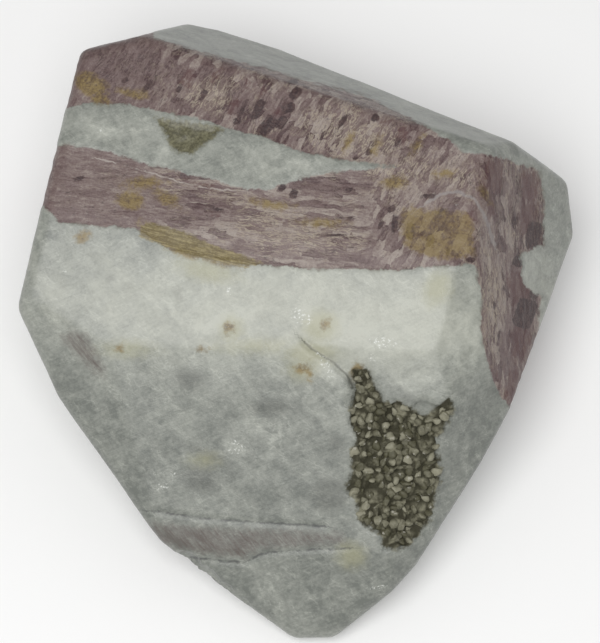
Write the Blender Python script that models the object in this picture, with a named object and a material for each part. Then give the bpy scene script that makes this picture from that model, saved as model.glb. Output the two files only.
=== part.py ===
"""Pink tourmaline in pale feldspar: one hand-polished freeform stone.

Run it with: blender --background --python part.py, or from Blender's text editor.

The stone is a block cut by flat facets, as a lapidary grinds them, with every edge rolled over by a
small radius. A rough brown pocket is left unpolished across the front, and a row of small chips
runs along one lower edge. It rests on its flat base facet.
Lengths are in millimetres here and are turned into metres as the meshes are made. +Z is up, and the
origin is the middle of the box around the stone, at the height of the surface it rests on.
"""

import math

import bmesh
import bpy
from mathutils import Vector, noise

MM = 0.001

# The facet chart. The azimuth is counter-clockwise from +X and the tilt is down from straight up,
# both in degrees. The distance is from the stone's middle to the facet, in millimetres.
FACETS = {
    "crown": (259.0, 23.0, 1.0),
    "upper_face": (256.0, 10.0, 3.2),
    "front_face": (262.5, 36.0, 1.7),
    "toe_face": (263.5, 42.5, 5.0),
    "left_front_bevel": (249.0, 40.0, 5.5),
    "right_flank": (346.0, 60.5, 19.6),
    "right_front_bevel": (312.5, 59.0, 15.1),
    "right_corner_bevel": (309.5, 36.0, 8.9),
    "back_slope": (69.5, 50.5, 26.2),
    "left_side": (169.0, 82.5, 34.9),
    "left_lower_side": (197.0, 108.0, 32.4),
    "left_front_underside": (203.0, 122.0, 30.8),
    "toe_left_underside": (220.5, 129.0, 33.1),
    "toe_tip": (274.5, 133.0, 41.2),
    "toe_right_underside": (324.0, 125.0, 33.1),
    "right_front_underside": (334.5, 113.5, 29.9),
    "right_lower_side": (338.0, 108.5, 29.4),
    "right_edge": (8.5, 89.0, 39.4),
    "back_right_corner": (46.5, 74.5, 39.0),
    "back_side": (63.5, 70.5, 32.7),
    "back_left_edge": (105.5, 60.0, 39.2),
    "back_underside": (71.5, 107.0, 40.0),
    "back_right_underside": (31.0, 119.0, 43.0),
    "back_left_underside": (100.0, 107.0, 46.8),
    "base": (90.0, 180.0, 27.0),
}
ROUGH_BLOCK = 200.0  # side of the block that the facets are cut from
EDGE_RADIUS = 2.0
ARC_STEP = 14.0  # degrees of a rolled edge that one flat strip spans

# The pocket. Each lump is (right, up, radius, bite): its place on the slope from the pocket's middle,
# and how deep it goes below the polished surface.
POCKET_MIDDLE = (12.5, -16.5, -8.6)
POCKET_FACETS = ("front_face", "front_face", "right_front_bevel")
POCKET_LUMPS = (
    (-3.4, 12.2, 1.7, 0.6),
    (-4.0, 9.8, 1.9, 0.8),
    (-3.0, 7.0, 3.4, 1.2),
    (0.4, 6.0, 3.0, 1.1),
    (4.0, 6.8, 2.6, 1.0),
    (-2.2, 2.6, 3.8, 1.5),
    (2.0, 2.4, 3.4, 1.6),
    (-3.4, -1.4, 2.8, 1.1),
    (0.2, -2.2, 3.8, 1.9),
    (3.0, -1.6, 2.6, 1.3),
    (-1.4, -5.6, 3.2, 1.5),
    (1.8, -5.8, 3.0, 1.5),
    (0.2, -8.6, 2.4, 1.0),
)
POCKET_ROUGHNESS = 0.22  # share of a lump's radius
POCKET_GRAIN = 1.6  # size of the lumps' own unevenness

# The chips. Each is (share of the way along the edge, radius, bite).
CHIPPED_EDGE = ((-16.6, -24.6, -17.6), (-1.9, -33.2, -23.6))
CHIPPED_FACETS = ("toe_face", "toe_left_underside")
EDGE_CHIPS = (
    (0.14, 2.8, 1.9),
    (0.30, 2.6, 1.8),
    (0.46, 2.4, 1.5),
    (0.62, 2.2, 1.2),
    (0.78, 2.0, 0.9),
)
CHIP_ROUGHNESS = 0.12
CHIP_GRAIN = 1.2

STONE_COLOUR = (0.42, 0.37, 0.36, 1.0)
STONE_ROUGHNESS = 0.3


def facet_normal(name):
    azimuth, tilt, _ = FACETS[name]
    azimuth, tilt = math.radians(azimuth), math.radians(tilt)
    level = math.sin(tilt)
    return Vector((level * math.cos(azimuth), level * math.sin(azimuth), math.cos(tilt)))


def facet_distance(name):
    return FACETS[name][2]


def blend_of_normals(names):
    """The outward direction midway between some facets."""
    return sum((facet_normal(name) for name in names), Vector()).normalized()


def surface_point(start, outward):
    """Where a line from inside the stone meets its surface, before the edges are rolled."""
    reach = min(
        (facet_distance(name) - facet_normal(name).dot(start)) / facet_normal(name).dot(outward)
        for name in FACETS
        if facet_normal(name).dot(outward) > 0.05
    )
    return start + outward * reach


def cut_block(inset):
    """The block cut by every facet, each moved in by the inset."""
    block = bmesh.new()
    bmesh.ops.create_cube(block, size=ROUGH_BLOCK)
    for name in FACETS:
        normal = facet_normal(name)
        cut = bmesh.ops.bisect_plane(
            block,
            geom=block.verts[:] + block.edges[:] + block.faces[:],
            dist=1e-4,
            plane_co=normal * (facet_distance(name) - inset),
            plane_no=normal,
            clear_outer=True,
        )
        rim = [piece for piece in cut["geom_cut"] if isinstance(piece, bmesh.types.BMEdge)]
        if rim:
            bmesh.ops.edgenet_fill(block, edges=rim)
    bmesh.ops.remove_doubles(block, verts=block.verts[:], dist=1e-3)
    return block


def directions_between(normals):
    """Directions fanned between the facets that meet at a corner."""
    fan = [normal.copy() for normal in normals]
    for i, first in enumerate(normals):
        for second in normals[i + 1:]:
            steps = max(1, round(math.degrees(first.angle(second)) / ARC_STEP))
            fan += [first.slerp(second, step / steps) for step in range(1, steps)]
    fan.append(sum(normals, Vector()).normalized())
    return fan


def rolled_block():
    """The facet-cut block with a ball of the edge radius rolled round its edges and corners."""
    core = cut_block(EDGE_RADIUS)
    rolled = bmesh.new()
    for corner in core.verts:
        normals = [
            facet_normal(name)
            for name in FACETS
            if abs(facet_normal(name).dot(corner.co) - facet_distance(name) + EDGE_RADIUS) < 2e-3
        ]
        for direction in directions_between(normals):
            rolled.verts.new(corner.co + direction * EDGE_RADIUS)
    core.free()
    hull = bmesh.ops.convex_hull(rolled, input=rolled.verts[:])
    loose = set(hull["geom_interior"]) | set(hull["geom_unused"])
    bmesh.ops.delete(
        rolled, geom=[piece for piece in loose if isinstance(piece, bmesh.types.BMVert)], context="VERTS"
    )
    bmesh.ops.dissolve_limit(
        rolled, angle_limit=math.radians(0.2), verts=rolled.verts[:], edges=rolled.edges[:]
    )
    bmesh.ops.recalc_face_normals(rolled, faces=rolled.faces[:])
    return rolled


def lump(middle, radius, roughness, grain):
    """An uneven ball, for biting a broken hollow out of the stone."""
    ball = bmesh.new()
    bmesh.ops.create_icosphere(ball, subdivisions=2, radius=radius)
    for point in ball.verts:
        place = middle + point.co
        point.co *= 1.0 + roughness * noise.noise(place / grain)
        point.co += middle
    bmesh.ops.recalc_face_normals(ball, faces=ball.faces[:])
    return ball


def pocket_lumps():
    outward = blend_of_normals(POCKET_FACETS)
    up = (Vector((0.0, 0.0, 1.0)) - outward * outward.z).normalized()
    right = up.cross(outward)
    for across, along, radius, bite in POCKET_LUMPS:
        inside = Vector(POCKET_MIDDLE) + right * across + up * along - outward * radius
        middle = surface_point(inside, outward) + outward * (radius - bite)
        yield lump(middle, radius, POCKET_ROUGHNESS, POCKET_GRAIN)


def edge_chips():
    outward = blend_of_normals(CHIPPED_FACETS)
    start, end = (Vector(point) for point in CHIPPED_EDGE)
    for share, radius, bite in EDGE_CHIPS:
        inside = start.lerp(end, share) - outward * radius
        middle = surface_point(inside, outward) + outward * (radius - bite)
        yield lump(middle, radius, CHIP_ROUGHNESS, CHIP_GRAIN)


def box_middle(shape):
    """The middle of a shape's box across, at the height of its underside."""
    lows, highs = ([pick(point.co[axis] for point in shape.verts) for axis in range(3)] for pick in (min, max))
    return Vector(((lows[0] + highs[0]) / 2, (lows[1] + highs[1]) / 2, lows[2]))


def object_from(shape, name, origin, collection):
    """A Blender object from a shape in millimetres, moved so that its origin is the stone's."""
    bmesh.ops.translate(shape, vec=-origin, verts=shape.verts[:])
    bmesh.ops.scale(shape, vec=(MM, MM, MM), verts=shape.verts[:])
    mesh = bpy.data.meshes.new(name)
    shape.to_mesh(mesh)
    shape.free()
    made = bpy.data.objects.new(name, mesh)
    collection.objects.link(made)
    return made


def new_collection(name):
    collection = bpy.data.collections.new(name)
    bpy.context.scene.collection.children.link(collection)
    return collection


def stone_material():
    material = bpy.data.materials.new("polished_stone")
    material.use_nodes = True
    surface = material.node_tree.nodes["Principled BSDF"]
    surface.inputs["Base Color"].default_value = STONE_COLOUR
    surface.inputs["Roughness"].default_value = STONE_ROUGHNESS
    surface.inputs["Metallic"].default_value = 0.0
    return material


def main():
    for old in list(bpy.data.objects):
        bpy.data.objects.remove(old, do_unlink=True)
    parts = new_collection("pink_tourmaline")
    cutters = new_collection("broken_hollows")

    shape = rolled_block()
    origin = box_middle(shape)
    stone = object_from(shape, "tourmaline_stone", origin, parts)
    stone.data.materials.append(stone_material())

    for hollow in (*pocket_lumps(), *edge_chips()):
        cutter = object_from(hollow, "hollow", origin, cutters)
        cutter.hide_render = True
        cutter.display_type = "WIRE"
    cutters.hide_render = True
    cut = stone.modifiers.new("broken hollows", "BOOLEAN")
    cut.operation = "DIFFERENCE"
    cut.operand_type = "COLLECTION"
    cut.collection = cutters
    cut.solver = "EXACT"

    stone.data.shade_smooth()
    stone.data.set_sharp_from_angle(angle=math.radians(30.0))
    print("origin, in the facet chart's millimetres:", [round(value, 3) for value in origin])


main()
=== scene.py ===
"""Pink tourmaline in pale feldspar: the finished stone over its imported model.

The stone is laid out on a drawing of its polished front, as the camera sees it from straight ahead.
Outlines, spots and veins are given on the drawing in millimetres, (across, up) from its middle, and are
carried through the stone along the line of sight, so that the layers also show on its sides and back.
"""

import math

import bmesh
import bpy
import numpy as np
from bpy.props import (
    FloatProperty,
    FloatVectorProperty,
    IntProperty,
    PointerProperty,
)
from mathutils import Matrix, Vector, noise
from mathutils.bvhtree import BVHTree


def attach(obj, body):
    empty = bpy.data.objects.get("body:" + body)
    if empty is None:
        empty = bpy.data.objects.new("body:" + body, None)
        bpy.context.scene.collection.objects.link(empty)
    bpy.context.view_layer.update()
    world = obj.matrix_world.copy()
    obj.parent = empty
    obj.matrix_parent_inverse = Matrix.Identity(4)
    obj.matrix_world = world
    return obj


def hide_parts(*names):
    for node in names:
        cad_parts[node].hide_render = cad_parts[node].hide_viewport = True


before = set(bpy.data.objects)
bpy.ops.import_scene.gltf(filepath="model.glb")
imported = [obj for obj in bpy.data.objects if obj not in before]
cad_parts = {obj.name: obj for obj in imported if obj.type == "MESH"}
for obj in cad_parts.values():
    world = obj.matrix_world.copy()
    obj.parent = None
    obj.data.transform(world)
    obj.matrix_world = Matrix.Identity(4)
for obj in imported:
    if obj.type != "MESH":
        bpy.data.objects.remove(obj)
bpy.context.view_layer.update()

bl_info = {
    "name": "Pink tourmaline freeform",
    "version": (1, 0, 0),
    "blender": (4, 5, 0),
    "location": "3D View > Sidebar > Tourmaline",
    "description": "A polished freeform of pink tourmaline in feldspar, with its broken pocket",
    "category": "Object",
}

STONE_NODE = "tourmaline_stone"
MM = 0.001

# The drawing: where its middle lies in the stone, how steeply it is looked down on, and from how far.
DRAWING_MIDDLE = (-0.187, -6.197, 27.0)
DRAWING_ELEVATION = 65.0
DRAWING_DISTANCE = 400.0
PHOTO_MM_PER_PIXEL = 0.125
PHOTO_SIZE = (600, 643)

# Layers that run right through the stone.
PINK_FIELD = (
    (-36.0, 40.0), (-18.8, 38.0), (-18.1, 35.4), (-11.8, 33.7), (-4.5, 31.8), (0.0, 30.4), (7.8, 28.4),
    (15.5, 24.6), (18.2, 22.9), (20.5, 21.2), (23.4, 20.9), (26.6, 20.1), (29.8, 18.9), (30.6, 15.2),
    (30.5, 9.6), (27.6, 8.4), (27.9, 4.6), (30.2, 3.2), (29.6, -2.6), (28.0, -7.0), (26.8, -11.3),
    (25.0, -9.2), (23.4, -5.1), (22.6, -1.0), (22.8, 2.7), (22.0, 7.2), (17.5, 6.9), (12.5, 6.4),
    (0.0, 6.6), (-7.5, 7.4), (-11.9, 8.2), (-16.2, 8.9), (-20.6, 11.7), (-25.0, 11.9), (-30.0, 12.4),
    (-32.0, 14.3), (-36.0, 14.8),
)
WHITE_WEDGE = (
    (-36.0, 26.0), (-29.0, 26.7), (-26.9, 27.3), (-21.2, 27.1), (-17.5, 26.2), (-11.9, 25.2),
    (-9.4, 24.2), (-4.8, 23.1), (0.0, 21.2), (5.0, 20.2), (12.6, 19.4), (9.4, 19.1), (3.8, 18.7),
    (0.0, 17.9), (-2.5, 17.1), (-4.4, 16.4), (-8.1, 16.8), (-10.6, 17.7), (-15.0, 18.7),
    (-20.0, 19.9), (-22.5, 20.8), (-26.2, 21.8), (-30.2, 22.1), (-36.0, 22.0),
)
LILAC_SEAM = (
    (-22.0, -24.6), (-17.5, -25.1), (-7.5, -25.8), (-1.2, -25.9), (5.6, -26.5), (6.2, -27.9),
    (0.0, -28.2), (-4.8, -28.7), (-6.9, -29.7), (-12.5, -29.2), (-16.5, -28.3), (-22.0, -29.0),
)

# Outlines on the front only.
MOSS_POCKET = (
    (-18.1, 25.6), (-10.6, 24.6), (-9.4, 24.1), (-11.9, 22.1), (-13.8, 20.8), (-15.6, 21.2),
    (-16.9, 23.3),
)
BROKEN_POCKET = (
    (6.2, -10.4), (7.0, -8.8), (6.6, -6.2), (8.4, -5.6), (9.2, -7.6), (10.6, -9.8), (12.5, -10.1),
    (14.4, -11.1), (15.6, -11.7), (17.5, -10.4), (19.0, -9.2), (19.4, -11.1), (18.1, -13.6),
    (16.9, -14.8), (17.5, -16.7), (17.8, -19.8), (16.9, -22.3), (16.5, -24.8), (15.0, -26.7),
    (13.8, -27.9), (12.2, -28.8), (10.6, -28.6), (10.0, -26.7), (8.8, -26.1), (7.2, -24.8),
    (6.9, -22.3), (5.6, -21.1), (6.5, -18.6), (6.2, -16.1), (7.2, -14.8), (6.5, -12.9),
)
ROSE_PATCH = (
    (-28.8, -0.8), (-26.8, -1.4), (-25.6, -3.0), (-24.6, -5.2), (-24.2, -7.2), (-25.6, -6.6),
    (-27.4, -4.8), (-29.4, -3.0), (-30.0, -1.6),
)
GOLDEN_PATCH = (
    (12.6, 14.6), (15.0, 14.4), (18.2, 14.2), (21.0, 14.0), (22.0, 12.0), (22.2, 8.2), (20.0, 7.5),
    (16.0, 7.9), (13.0, 9.0), (12.4, 11.6),
)
MUSTARD_STRIP = (
    (-20.2, 12.0), (-18.6, 12.5), (-15.2, 11.6), (-13.0, 10.6), (-10.6, 9.5), (-7.2, 8.4), (-4.6, 7.4),
    (-6.6, 6.7), (-10.6, 7.3), (-13.8, 8.1), (-17.0, 9.5), (-20.0, 10.4),
)
WHITE_TOOTH = (
    (22.4, 13.4), (23.6, 13.2), (24.8, 10.4), (25.4, 8.0), (23.6, 7.8), (22.4, 8.0), (22.2, 10.6),
)

# Spots: (across, up, half length, half width, lean in degrees).
DARK_CRYSTALS = (
    (-19.2, 29.3, 0.95, 0.36, 48), (-15.1, 29.2, 0.6, 0.35, 55), (-12.0, 28.6, 0.55, 0.4, 50),
    (-12.4, 27.7, 0.5, 0.22, 0), (-21.9, 30.2, 0.5, 0.3, 30), (-7.3, 26.2, 1.45, 0.32, 68),
    (-7.9, 25.1, 0.6, 0.42, 10), (-5.0, 27.1, 0.8, 0.6, 60), (-5.6, 25.9, 0.75, 0.5, 40),
    (-4.2, 24.5, 1.45, 0.8, 50), (-2.3, 24.9, 0.85, 0.6, 62), (-1.5, 26.7, 0.85, 0.62, 20),
    (-0.6, 28.6, 0.95, 0.6, 50), (-0.8, 30.1, 0.7, 0.3, 10), (5.3, 25.0, 1.2, 0.34, 65),
    (9.4, 25.5, 0.58, 0.5, 75), (2.8, 23.2, 0.85, 0.24, 60), (3.8, 21.4, 0.4, 0.2, 0),
    (6.9, 20.4, 0.45, 0.25, 30), (8.6, 21.2, 0.5, 0.4, 60), (12.2, 22.4, 0.7, 0.35, 70),
    (-2.2, 16.8, 0.6, 0.45, 50), (-0.8, 16.0, 0.6, 0.5, 70), (-10.4, 14.1, 1.1, 0.3, -22),
    (-27.6, 17.9, 0.8, 0.32, 10), (6.1, 16.5, 0.5, 0.35, 0), (11.4, 14.1, 0.6, 0.42, 30),
    (11.8, 12.3, 1.2, 0.42, 82), (10.1, 12.1, 0.65, 0.34, 75), (6.3, 12.9, 0.5, 0.3, 0),
    (13.8, 11.4, 1.2, 0.55, 84), (16.3, 10.2, 0.95, 0.55, 84), (17.6, 13.8, 0.75, 0.36, 8),
    (18.5, 8.8, 0.6, 0.3, 80), (18.8, 11.2, 0.9, 0.16, 86), (21.4, 7.7, 0.6, 0.36, -10),
    (16.0, 15.7, 1.1, 0.32, 3), (27.0, 12.6, 0.55, 0.4, 80), (29.3, 10.8, 1.7, 0.9, 80),
    (27.4, 7.6, 0.8, 0.7, 60), (29.4, 3.6, 0.9, 0.6, 70), (28.2, 1.0, 1.9, 1.3, 70),
    (25.6, 4.2, 0.4, 0.2, 80), (24.4, 2.0, 0.5, 0.2, 90), (25.0, -1.6, 0.6, 0.2, 80),
    (2.2, 12.2, 0.7, 0.25, 0), (4.6, 10.8, 1.6, 0.2, 0), (-3.4, 12.4, 0.8, 0.2, -30),
)
ROSE_CRYSTALS = (
    (-14.0, 30.4, 1.45, 0.78, 58), (-8.4, 26.9, 1.35, 0.7, 64), (-2.9, 26.3, 0.95, 0.6, 50),
    (-10.6, 30.6, 1.4, 0.45, 60), (-6.6, 29.8, 1.2, 0.45, 62), (-4.6, 28.6, 1.0, 0.5, 60),
    (24.3, 18.2, 2.5, 1.35, 86), (23.8, 15.0, 2.4, 0.7, 100), (28.8, 16.8, 2.4, 1.2, 96),
    (28.6, 13.0, 2.6, 1.3, 84), (27.6, 3.6, 3.2, 1.5, 100), (27.8, -2.2, 3.2, 1.4, 84),
    (26.6, -7.8, 2.6, 0.9, 78), (-10.6, 13.2, 0.7, 0.45, 0), (12.8, 23.4, 1.2, 0.8, 64),
    (-12.0, 17.0, 2.4, 0.5, -14), (21.0, 13.0, 1.0, 0.9, 0), (10.8, 25.0, 0.8, 0.5, 66),
)
OCHRE_STAINS = (
    (-26.2, 29.6, 2.3, 1.4, -24), (-25.0, 27.8, 1.2, 0.7, -20), (-20.8, 28.6, 1.8, 0.6, -10),
    (-21.2, 15.1, 1.7, 1.2, -12), (-19.6, 17.4, 2.4, 0.7, 4), (-16.6, 15.4, 1.8, 0.8, -30),
    (-17.8, 10.9, 2.6, 0.9, -30), (-13.9, 8.9, 2.6, 0.95, -14), (-9.4, 7.6, 2.6, 0.7, -10),
    (-27.1, 10.6, 1.0, 0.75, 24), (17.9, 18.5, 1.2, 0.5, 10), (23.2, 16.0, 1.3, 0.4, -60),
    (11.8, 17.4, 1.6, 0.9, 10), (-8.9, -0.9, 0.6, 0.8, 0), (-22.5, -3.3, 0.6, 0.5, 0),
    (3.1, -0.4, 0.7, 0.5, 40), (1.1, -6.3, 0.4, 1.0, 8), (0.2, -6.0, 0.9, 0.6, 0),
    (7.2, -6.2, 0.8, 1.3, 0), (-12.2, -3.4, 0.6, 0.3, 0), (9.6, 22.0, 1.4, 0.5, 60),
    (6.0, 22.4, 1.3, 0.4, 64), (14.6, 22.0, 1.4, 0.5, 58), (-3.4, 14.6, 2.4, 0.5, -8),
    (2.8, 12.4, 2.6, 0.5, 0),
)
YELLOW_GLOWS = (
    (-11.6, 6.4, 3.4, 1.4, -12), (-14.6, 9.4, 3.0, 1.2, -22), (2.6, -0.6, 2.2, 2.0, 0),
    (-8.6, -1.0, 1.4, 1.6, 0), (0.2, -6.0, 1.8, 1.4, 0), (-11.9, -17.3, 1.6, 0.8, 0),
    (6.4, -29.2, 1.8, 1.6, 0), (17.2, 4.2, 2.2, 1.6, 60), (-21.6, -3.4, 2.6, 1.0, 0),
    (1.2, -4.0, 3.0, 1.6, 0), (-5.6, -3.0, 4.0, 0.8, 0),
)
# White veils and blades in the feldspar; those laid on the glints also serve as painted highlight, widening each
# glint into a white patch.
MILKY_BLADES_AND_GLINT_HIGHLIGHTS = (
    (3.4, -6.0, 2.6, 1.0, -58), (-3.0, -14.2, 3.4, 0.5, 66), (-8.3, -15.9, 1.4, 0.9, 0),
    (-16.8, -19.0, 1.8, 0.5, -8), (-17.4, -20.6, 1.2, 0.4, 10), (-20.8, -6.6, 0.8, 0.3, -50),
    (20.2, -2.6, 3.8, 0.7, 74), (21.6, -4.4, 3.4, 0.5, 80), (18.6, -3.4, 3.0, 0.45, 70),
    (10.8, -20.0 + 4.4, 0.9, 0.7, 0), (28.8, 7.0, 2.0, 1.1, 80), (-8.6, 4.0, 0.9, 0.5, -50),
    (-15.8, 2.2, 0.7, 0.35, 80), (1.0, 0.8, 1.4, 0.9, -30), (-24.0, 23.8, 3.0, 1.2, -6),
    (-4.6, 20.6, 3.0, 1.4, 20), (0.4, 19.6, 3.2, 0.9, 8), (-17.0, 21.6, 1.6, 0.6, 60),
    (15.0, -33.0 + 25.8, 2.4, 0.8, 10), (13.2, -7.6, 3.0, 0.9, -6), (-10.0, 0.0, 4.0, 1.2, 20),
)
SHADY_PATCHES = (
    (-13.8, -7.2, 2.2, 1.4, -10), (4.5, -15.4, 0.9, 1.3, 10), (24.2, -7.6, 3.0, 0.9, 78),
    (-29.5, 4.6, 0.8, 0.5, 0), (-23.7, 5.4, 0.8, 0.6, 30), (-21.4, 4.4, 1.0, 0.5, 0),
    (-15.2, 3.6, 0.6, 1.0, 10), (-12.0, -16.4, 3.0, 0.6, -24), (13.2, -9.6, 1.6, 0.8, -20),
    (-6.9, -11.4, 0.35, 0.35, 0), (-12.4, -19.6, 2.4, 1.8, -20), (3.6, -21.6, 2.6, 2.2, 20),
    (24.8, -5.2, 1.2, 2.2, 10), (26.0, 10.2, 1.6, 1.4, 0), (-3.6, -10.8, 3.0, 1.2, 0),
)

# Painted glints: spots where near-white flecks are painted into the colour as highlights of light off cleavage
# planes.
PAINTED_GLINTS = (
    (-9.0, 3.9, 0.7, 0.5, -30), (-15.9, 2.0, 0.5, 0.25, 70), (0.2, 0.6, 1.7, 1.0, -30),
    (-7.9, -15.8, 1.2, 0.9, 10), (-17.0, -19.0, 1.8, 0.35, -6), (-17.4, -20.6, 1.1, 0.4, 8),
    (-20.8, -6.6, 0.6, 0.25, -45), (-6.2, -29.2, 0.35, 0.25, 0), (-1.2, -31.9, 0.4, 0.25, 0),
    (-4.4, -33.4, 0.4, 0.3, 0), (9.6, -33.2, 2.0, 0.3, 6), (3.2, -5.6, 2.4, 0.6, -58),
    (9.0, -4.6, 0.8, 0.5, 0), (7.9, -8.4, 0.7, 0.4, 0), (22.2, -1.4, 0.3, 0.8, 80),
    (19.6, 14.6, 0.3, 0.3, 0), (-24.8, 21.8 + 2.2, 0.4, 0.3, 0), (-3.8, 16.9, 0.3, 0.2, 0),
    (21.4, 5.0, 0.5, 0.3, 0), (-29.4, 6.2, 0.3, 0.5, 20), (10.4, -2.6, 2.0, 0.8, 0),
)

# Broad lighter and darker areas of the feldspar, partly its own tone and partly painted light and shade: the first
# brightens the front facet that faces the light, the negative ones darken the lower facets turned from it. (across,
# up, half length, half width, lean, amount).
FELDSPAR_TONE_AND_FACET_LIGHT = (
    (-6.0, 1.5, 34.0, 7.5, 0.0, 0.42), (8.0, 0.0, 18.0, 7.0, -6.0, 0.10), (-26.0, 24.0, 14.0, 4.0, -8.0, 0.08),
    (-8.0, 20.5, 16.0, 4.0, -6.0, 0.10), (18.0, -3.0, 7.0, 9.0, 80.0, 0.16), (0.0, -32.0, 22.0, 7.0, 0.0, -0.08),
    (-24.0, -14.0, 18.0, 6.0, -55.0, -0.10), (19.0, -16.0, 16.0, 5.0, 62.0, -0.14),
    (-2.0, -21.0, 14.0, 5.0, 0.0, -0.07), (30.0, 8.0, 5.0, 14.0, 0.0, 0.10), (5.0, -4.0, 5.0, 7.0, -58.0, 0.10),
)

# Broad deeper and paler areas of the tourmaline, in the same order.
PINK_CLOUDS = (
    (-23.0, 32.0, 9.0, 4.0, -8.0, 0.26), (-17.0, 26.0, 5.0, 3.0, 0.0, 0.0), (-6.0, 26.5, 5.5, 3.5, -10.0, 0.24),
    (-12.0, 30.0, 6.0, 3.0, -10.0, 0.08), (29.0, 14.0, 3.0, 8.0, 0.0, 0.16), (27.5, -2.0, 3.0, 8.0, -10.0, 0.14),
    (-30.0, 17.0, 4.0, 4.0, 0.0, 0.08), (24.0, 18.0, 2.5, 4.0, 0.0, 0.12), (6.0, 8.0, 14.0, 2.0, 0.0, -0.06),
    (-2.0, 12.0, 9.0, 3.0, 0.0, -0.06), (12.0, 20.0, 5.0, 2.0, 0.0, -0.02),
)

# Areas of the tourmaline with a denser tan net.
TAN_CLOUDS = (
    (-11.0, 28.4, 3.0, 2.4, 20.0, 0.7), (7.0, 23.4, 7.0, 3.0, -20.0, 0.55), (-1.0, 11.0, 9.0, 2.2, -4.0, 0.5),
    (-9.0, 15.6, 6.0, 1.2, -14.0, 0.4), (-20.0, 17.0, 5.0, 2.0, 0.0, 0.35), (24.0, 3.0, 1.6, 5.0, 0.0, 0.6),
    (15.0, 18.5, 6.0, 1.5, -4.0, 0.45), (-26.0, 18.0, 5.0, 3.0, 0.0, 0.2), (28.0, 14.0, 3.0, 6.0, 0.0, 0.1),
)

# Lines: the crack beside the pocket, the crest of the lower band, and the seam's two dark edges.
CRACK = ((0.6, -2.6), (1.6, -3.6), (4.4, -5.4), (6.4, -7.3), (7.1, -9.2), (6.6, -11.0))
BAND_CREST = ((-25.4, 20.4), (-22.0, 19.6), (-17.4, 18.2), (-11.4, 16.6), (-8.2, 16.4))
WHITE_VEIN = ((15.9, 14.9), (17.6, 16.0), (19.6, 16.3), (21.8, 15.4), (23.4, 12.8), (24.4, 9.6))
SEAM_EDGE = ((-19.0, -23.6), (-12.0, -24.6), (-7.4, -25.0), (-1.2, -25.4), (3.0, -25.6))
SEAM_FOOT = ((-14.0, -29.6), (-7.0, -30.2), (-4.7, -29.0), (0.0, -28.6), (6.2, -28.4))

EDGE_TURN = 6.0  # millimetres that a front mark draws in as the surface turns fully away


def drawn(points):
    """Where points of the stone, in millimetres, lie on the drawing: across, up, and how near."""
    tilt = math.radians(DRAWING_ELEVATION)
    from_middle = points - np.array(DRAWING_MIDDLE)
    right = from_middle[:, 0]
    up = from_middle[:, 1] * math.sin(tilt) + from_middle[:, 2] * math.cos(tilt)
    near = from_middle[:, 2] * math.sin(tilt) - from_middle[:, 1] * math.cos(tilt)
    spread = DRAWING_DISTANCE / (DRAWING_DISTANCE - near)
    return right * spread, up * spread, near


def outline_depth(outline, across, up):
    """How far inside a closed outline each point of the drawing is; negative outside."""
    corners = np.array(outline)
    nearest = np.full(across.shape, np.inf)
    inside = np.zeros(across.shape, bool)
    for (x0, y0), (x1, y1) in zip(corners, np.roll(corners, -1, axis=0)):
        run, rise = x1 - x0, y1 - y0
        share = ((across - x0) * run + (up - y0) * rise) / (run * run + rise * rise)
        share = share.clip(0.0, 1.0)
        nearest = np.minimum(nearest, np.hypot(across - x0 - share * run, up - y0 - share * rise))
        if y0 != y1:
            inside ^= ((y0 > up) != (y1 > up)) & (across < x0 + run * (up - y0) / rise)
    return np.where(inside, nearest, -nearest)


def spots_depth(spots, across, up, squareness=2.0):
    """How far inside the nearest of some spots each point of the drawing is. Squareness 2 is an oval."""
    deepest = np.full(across.shape, -50.0)
    for x, y, half_length, half_width, lean in spots:
        lean = math.radians(lean)
        along = (across - x) * math.cos(lean) + (up - y) * math.sin(lean)
        aside = (up - y) * math.cos(lean) - (across - x) * math.sin(lean)
        reach = np.abs(along / half_length) ** squareness + np.abs(aside / half_width) ** squareness
        reach = reach ** (1.0 / squareness)
        deepest = np.maximum(deepest, (1.0 - reach) * min(half_length, half_width))
    return deepest


def line_side(line, across, up):
    """Signed distance to an open line: positive on its left, going from its first point on."""
    nearest = np.full(across.shape, np.inf)
    side = np.ones(across.shape)
    for (x0, y0), (x1, y1) in zip(line, line[1:]):
        run, rise = x1 - x0, y1 - y0
        share = (((across - x0) * run + (up - y0) * rise) / (run * run + rise * rise)).clip(0.0, 1.0)
        away = np.hypot(across - x0 - share * run, up - y0 - share * rise)
        turn = run * (up - y0) - rise * (across - x0)
        side = np.where(away < nearest, np.where(turn < 0, -1.0, 1.0), side)
        nearest = np.minimum(nearest, away)
    return nearest * side


def cloud_tone(clouds, across, up):
    """The sum of some broad soft areas, each strongest at its middle."""
    tone = np.zeros(across.shape)
    for x, y, half_length, half_width, lean, amount in clouds:
        lean = math.radians(lean)
        along = (across - x) * math.cos(lean) + (up - y) * math.sin(lean)
        aside = (up - y) * math.cos(lean) - (across - x) * math.sin(lean)
        tone += amount * np.exp(-((along / half_length) ** 2 + (aside / half_width) ** 2) ** 1.5)
    return tone


def rise_from(values, low, high):
    """0 below low, 1 above high, and an S-curve between."""
    share = ((values - low) / (high - low)).clip(0.0, 1.0)
    return share * share * (3.0 - 2.0 * share)


def noise_at(points, size, seed):
    """Perlin noise of some grain size, one value a point."""
    shift = Vector((seed * 17.3, seed * 5.1, seed * 9.7))
    return np.array([noise.noise(Vector(point) / size + shift) for point in points])


def lumps_at(points, size, seed):
    """Rounded lumps of some size: 1 at the middle of each, falling to 0 in the crevices between."""
    shift = Vector((seed * 3.3, seed * 7.1, seed * 1.7))
    heights = []
    for point in points:
        gaps = noise.voronoi(Vector(point) / size + shift)[0]
        heights.append(min(1.0, (gaps[1] - gaps[0]) * 1.6))
    return np.array(heights)


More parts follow.
